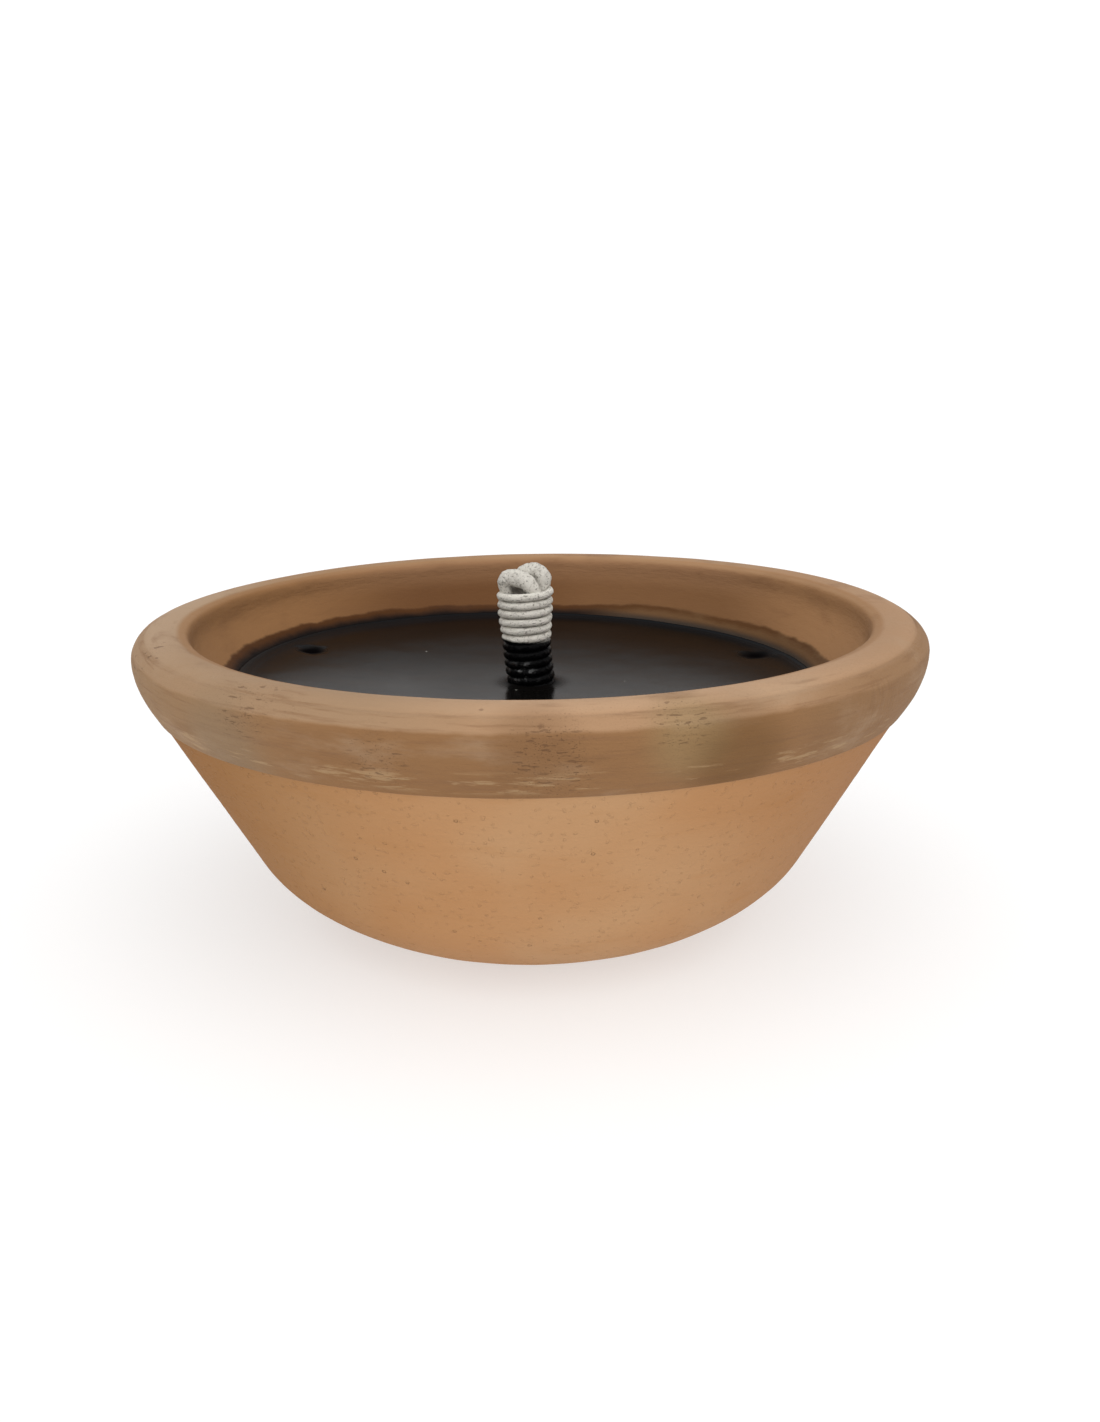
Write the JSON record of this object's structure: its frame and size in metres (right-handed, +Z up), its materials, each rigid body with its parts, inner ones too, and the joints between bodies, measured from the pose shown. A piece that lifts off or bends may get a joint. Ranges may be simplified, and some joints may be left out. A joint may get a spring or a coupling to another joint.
{
  "type": "oil lamp",
  "caption": "Wide turned terracotta bowl lamp with a rolled rim, filled with dark wax round an upright twine-bound cotton wick.",
  "frame": {"origin": "centre of the flat base the bowl stands on", "axes": "+Z up along the bowl's axis, towards the wick's top; -Y is the front, where the lower of the two bends of the wick is"},
  "size_m": [0.24, 0.24, 0.1094],
  "materials": {
    "terracotta": "matte",
    "dark_wax": "satin",
    "tinplate": "satin",
    "cotton_cord": "matte",
    "cotton_twine": "matte"
  },
  "bodies": {
    "root": {"bowl": "terracotta", "wax_fill": "dark_wax", "wick_foot": "tinplate", "wick_cord_front": "cotton_cord", "wick_cord_back": "cotton_cord", "wick_binding": "cotton_twine"}
  },
  "joints": []
}
